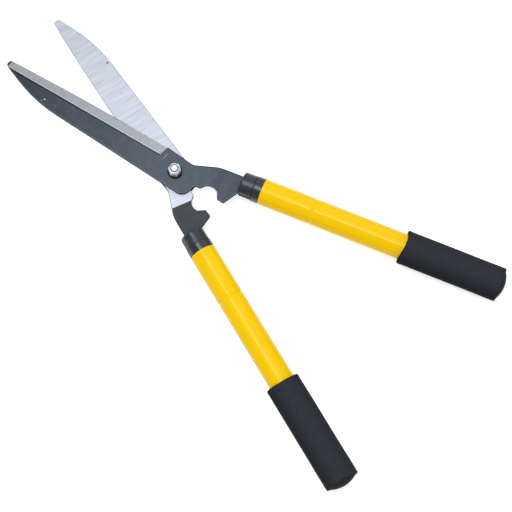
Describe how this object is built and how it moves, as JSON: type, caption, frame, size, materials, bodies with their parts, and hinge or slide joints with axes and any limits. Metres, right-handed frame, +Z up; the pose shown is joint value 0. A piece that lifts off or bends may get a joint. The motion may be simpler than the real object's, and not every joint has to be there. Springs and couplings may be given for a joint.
{
  "type": "hedge shears",
  "caption": "Hedge shears: straight bevelled blades on a bolted pivot, notched tangs with closing stops, crimped tube handles and foam grips.",
  "frame": {"origin": "on the surface the shears lie on, under the middle of the bounding box, half open", "axes": "+Y along the shears towards the blade tips, +Z up along the pivot bolt towards its nut, +X towards the right handle"},
  "size_m": [0.2677, 0.5206, 0.0328],
  "materials": {
    "blade_steel": "dark coated carbon steel with ground flats and bevels",
    "zinc_hardware": "bright zinc plate",
    "black_washer": "blackened steel",
    "nylon_ring": "dark grey nylon",
    "black_moulding": "satin moulded polypropylene",
    "yellow_tube": "gloss yellow powder coat on steel tube",
    "foam_grip": "closed-cell foam sleeve"
  },
  "bodies": {
    "rear_half": {"rear_blade": "blade_steel", "left_ferrule": "black_moulding", "left_tube": "yellow_tube", "left_grip": "foam_grip", "left_end_cap": "black_moulding", "pivot_bolt": "zinc_hardware", "head_washer": "zinc_hardware", "nut_washer": "black_washer", "pivot_nut": "zinc_hardware", "nut_insert": "nylon_ring"},
    "front_half": {"front_blade": "blade_steel", "right_ferrule": "black_moulding", "right_tube": "yellow_tube", "right_grip": "foam_grip", "right_end_cap": "black_moulding"}
  },
  "joints": [
    {"name": "pivot", "type": "hinge", "parent": "rear_half", "child": "front_half", "pos_m": [-0.01365, 0.06153, 0.0164], "axis": [0, 0, 1], "range_deg": [-18.1, 95]}
  ]
}
